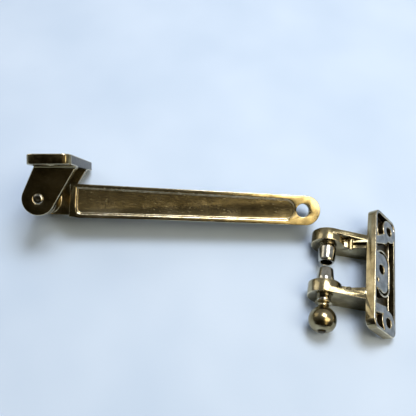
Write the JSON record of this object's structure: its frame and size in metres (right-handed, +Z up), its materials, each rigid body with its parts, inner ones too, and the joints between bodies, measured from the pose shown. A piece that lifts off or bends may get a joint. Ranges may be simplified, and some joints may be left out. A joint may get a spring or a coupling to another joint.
{
  "type": "casement window fastener",
  "caption": "Two-part casement window fastener: a cast frame catch with a knob-pulled sprung nose and a sash bracket whose pivoting channel arm ends in an eye.",
  "frame": {"origin": "middle of the whole set's footprint on the table both halves lie on", "axes": "+X along the stay from its pivot towards the catch plate, +Y along the catch pin away from the knob, +Z up from the table"},
  "size_m": [0.1719, 0.0702, 0.0499],
  "materials": {
    "antique_plate": "polished, darkened antique plating over die-cast zinc",
    "bright_plate": "bright nickel-like plating",
    "spring_steel": "drawn wire"
  },
  "bodies": {
    "catch": {"catch_bracket": "antique_plate", "fixed_nose": "bright_plate", "guide_bush": "bright_plate", "plunger_spring": "spring_steel"},
    "plunger": {"plunger_nose": "bright_plate", "plunger_rod": "bright_plate", "pull_knob": "antique_plate"},
    "sash": {"sash_bracket": "antique_plate", "pivot_pin": "bright_plate", "front_washer": "bright_plate", "rear_washer": "bright_plate"},
    "stay": {"stay_arm": "antique_plate"}
  },
  "joints": [
    {"name": "plunger_slide", "type": "slide", "parent": "catch", "child": "plunger", "axis": [0, -1, 0], "range_m": [0, 0.004], "stiffness_N_per_m": 800, "springref_m": -0.003, "deforming": ["plunger_spring"]},
    {"name": "stay_clear", "type": "slide", "parent": "catch", "child": "stay", "axis": [-1, 0, 0], "range_m": [0, 0.04]},
    {"name": "stay_swing", "type": "hinge", "parent": "stay", "child": "sash", "pos_m": [-0.07727, 0.00239, 0.01623], "axis": [0.1037, -0.5238, 0.8455], "range_deg": [-15, 170]}
  ]
}
